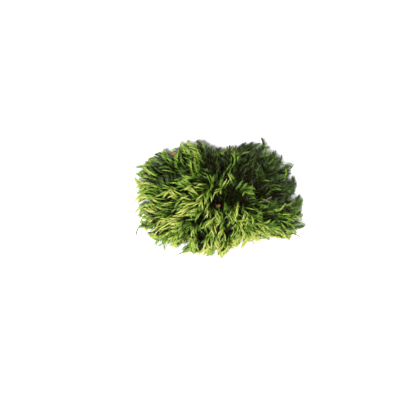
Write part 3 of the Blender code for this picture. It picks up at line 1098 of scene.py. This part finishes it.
stickShape = {
    "steps": 60,
    "wobbleSize": 3 * mm,
    "bark": (0.10, 0.8 * mm),  # share of the radius, and the size of a bump
    "knotLength": 0.018,       # share of the stick
    "stubLength": (1.2, 2.4),  # mm
    "stubSteps": 5,
}


def smoothLine(spots, steps):
    # a Catmull-Rom curve through the spots
    ends = np.concatenate([[2 * spots[0] - spots[1]], spots, [2 * spots[-1] - spots[-2]]])
    t = np.linspace(0, len(spots) - 1, steps)
    i = np.minimum(t.astype(int), len(spots) - 2)
    f = (t - i)[:, None]
    a, b, c, d = ends[i], ends[i + 1], ends[i + 2], ends[i + 3]
    slope, bow, twist = c - a, 2 * a - 5 * b + 4 * c - d, 3 * b - a - 3 * c + d
    return 0.5 * (2 * b + slope * f + bow * f**2 + twist * f**3)


def stickMesh(node, plan):
    # a thin bent tube with knots and the stubs of broken side shoots
    low, high = (np.array(corner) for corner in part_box(node))
    rng = np.random.default_rng(plan["seed"])
    steps = stickShape["steps"]
    line = smoothLine(low + (high - low) * np.array(plan["line"]), steps)
    wobble = [softNoise(line + axis, stickShape["wobbleSize"], plan["seed"]) for axis in range(3)]
    line = line + np.stack(wobble, axis=1) * [1, 1, 0.3] * plan["wobble"] - [0, 0, plan["drop"]]
    t = np.linspace(0, 1, steps)
    radii = np.interp(t, np.linspace(0, 1, len(plan["radii"])), plan["radii"]) * mm
    amount, size = stickShape["bark"]
    radii = radii * (1 + amount * softNoise(line, size, plan["seed"] + 1))
    for knot in (np.arange(plan["knots"]) + rng.uniform(0.3, 0.7, plan["knots"])) / plan["knots"]:
        radii = radii * (1 + plan["knotSize"] * np.exp(-(((t - knot) / stickShape["knotLength"]) ** 2)))
    radii[-1] *= 0.4
    stick = tubeMesh(line[None], radii[None], plan["sides"])
    parts = [(*stick, np.repeat(0.25 + 0.5 * t, plan["sides"]))]
    for stub in range(plan["stubs"]):
        k = int(steps * (stub + rng.uniform(0.3, 0.8)) / plan["stubs"] * 0.9)
        way = unit(line[k + 1] - line[k])
        side = unit(np.cross(way, [0, 0, 1]) * rng.choice([-1, 1]) + way * 0.8 + [0, 0, 0.3])
        shares = np.linspace(0, 1, stickShape["stubSteps"])[:, None]
        short = line[k] + side * shares * rng.uniform(*stickShape["stubLength"]) * mm
        thin = radii[k] * np.linspace(0.7, 0.35, stickShape["stubSteps"])
        twiglet = tubeMesh(short[None], thin[None], plan["sides"])
        parts.append((*twiglet, np.full(len(twiglet[0]), 0.6)))
    points, faces, tint, same = joinParts([(*part, part[2]) for part in parts])
    return points, faces, np.clip(tint, 0.01, 0.99)


litterLowest = 0.1 * mm
litterFinish = {"rusty_scale": budScale, "dry_leaf": fallenLeaf,
                "bare_twig": twigBark, "dead_stalk": deadStalk}
for node, plan in [*flakes.items(), *sticks.items()]:
    points, faces, tint = flakeMesh(node, plan) if node in flakes else stickMesh(node, plan)
    points[:, 2] = np.maximum(points[:, 2], litterLowest)
    meshPiece(plan["piece"], node, plan["slot"], litterFinish[plan["slot"]], points, faces, tint, tint)


# floor, light and camera

studio = {
    "floorSize": 6.0,
    "keyFrom": (-0.24, -0.26, 1.25),
    "keyAngle": 15,               # degrees across, as soft as a small round softbox
    "keyStrength": 5.8,
    "fillFrom": (0.9, 0.6, 0.9),
    "fillAngle": 50,
    "fillStrength": 0.22,
    "sky": 0.32,
    "horizon": 1.0,
    "horizonFade": (0.12, 0.45),  # sines of the elevations between which the horizon fades to sky
    "cameraHeight": 1.225,
    "sensor": 36.0,               # millimetres
    "fieldWidth": 0.400,          # what the picture spans at this height above the paper
    "fieldHeight": 0.025,
    "aimX": -0.019,
}


def makeStudio():
    s = studio["floorSize"] / 2
    mesh = bpy.data.meshes.new("paper_sweep")
    mesh.from_pydata([(-s, -s, 0), (s, -s, 0), (s, s, 0), (-s, s, 0)], [], [(0, 1, 2, 3)])
    mesh.materials.append(paper)
    floor = bpy.data.objects.new("paper_sweep", mesh)
    bpy.context.scene.collection.objects.link(floor)
    for name in ("key", "fill"):
        # far, soft lamps, so that the paper is evenly lit up to its edges
        lamp = bpy.data.lights.new(name + "_light", "SUN")
        lamp.energy = studio[name + "Strength"]
        lamp.angle = math.radians(studio[name + "Angle"])
        holder = bpy.data.objects.new(name + "_light", lamp)
        holder.location = studio[name + "From"]
        holder.rotation_euler = (-Vector(studio[name + "From"])).to_track_quat("-Z", "Y").to_euler()
        bpy.context.scene.collection.objects.link(holder)
    world = bpy.data.worlds.new("studio_air")
    world.use_nodes = True
    tree = world.node_tree
    backdrop = tree.nodes["Background"]
    backdrop.inputs["Color"].default_value = hexToLinear("#ffffff")
    way = addNode(tree, "ShaderNodeTexCoord").outputs["Generated"]
    rise = addNode(tree, "ShaderNodeSeparateXYZ", links={"Vector": way}).outputs["Z"]
    paleUpTo, skyFrom = studio["horizonFade"]
    glow = addNode(tree, "ShaderNodeMapRange",
                   {"From Min": paleUpTo, "From Max": skyFrom,
                    "To Min": studio["horizon"], "To Max": studio["sky"]}, {"Value": rise})
    tree.links.new(glow.outputs["Result"], backdrop.inputs["Strength"])
    bpy.context.scene.world = world
    lens = bpy.data.cameras.new("overhead_camera")
    lens.sensor_width = studio["sensor"]
    distance = studio["cameraHeight"] - studio["fieldHeight"]
    lens.lens = studio["sensor"] * distance / studio["fieldWidth"]
    camera = bpy.data.objects.new("overhead_camera", lens)
    camera.location = (studio["aimX"], 0.0, studio["cameraHeight"])
    bpy.context.scene.collection.objects.link(camera)
    bpy.context.scene.camera = camera
    bpy.context.scene.view_settings.view_transform = "Standard"


makeStudio()
print("studio ready")
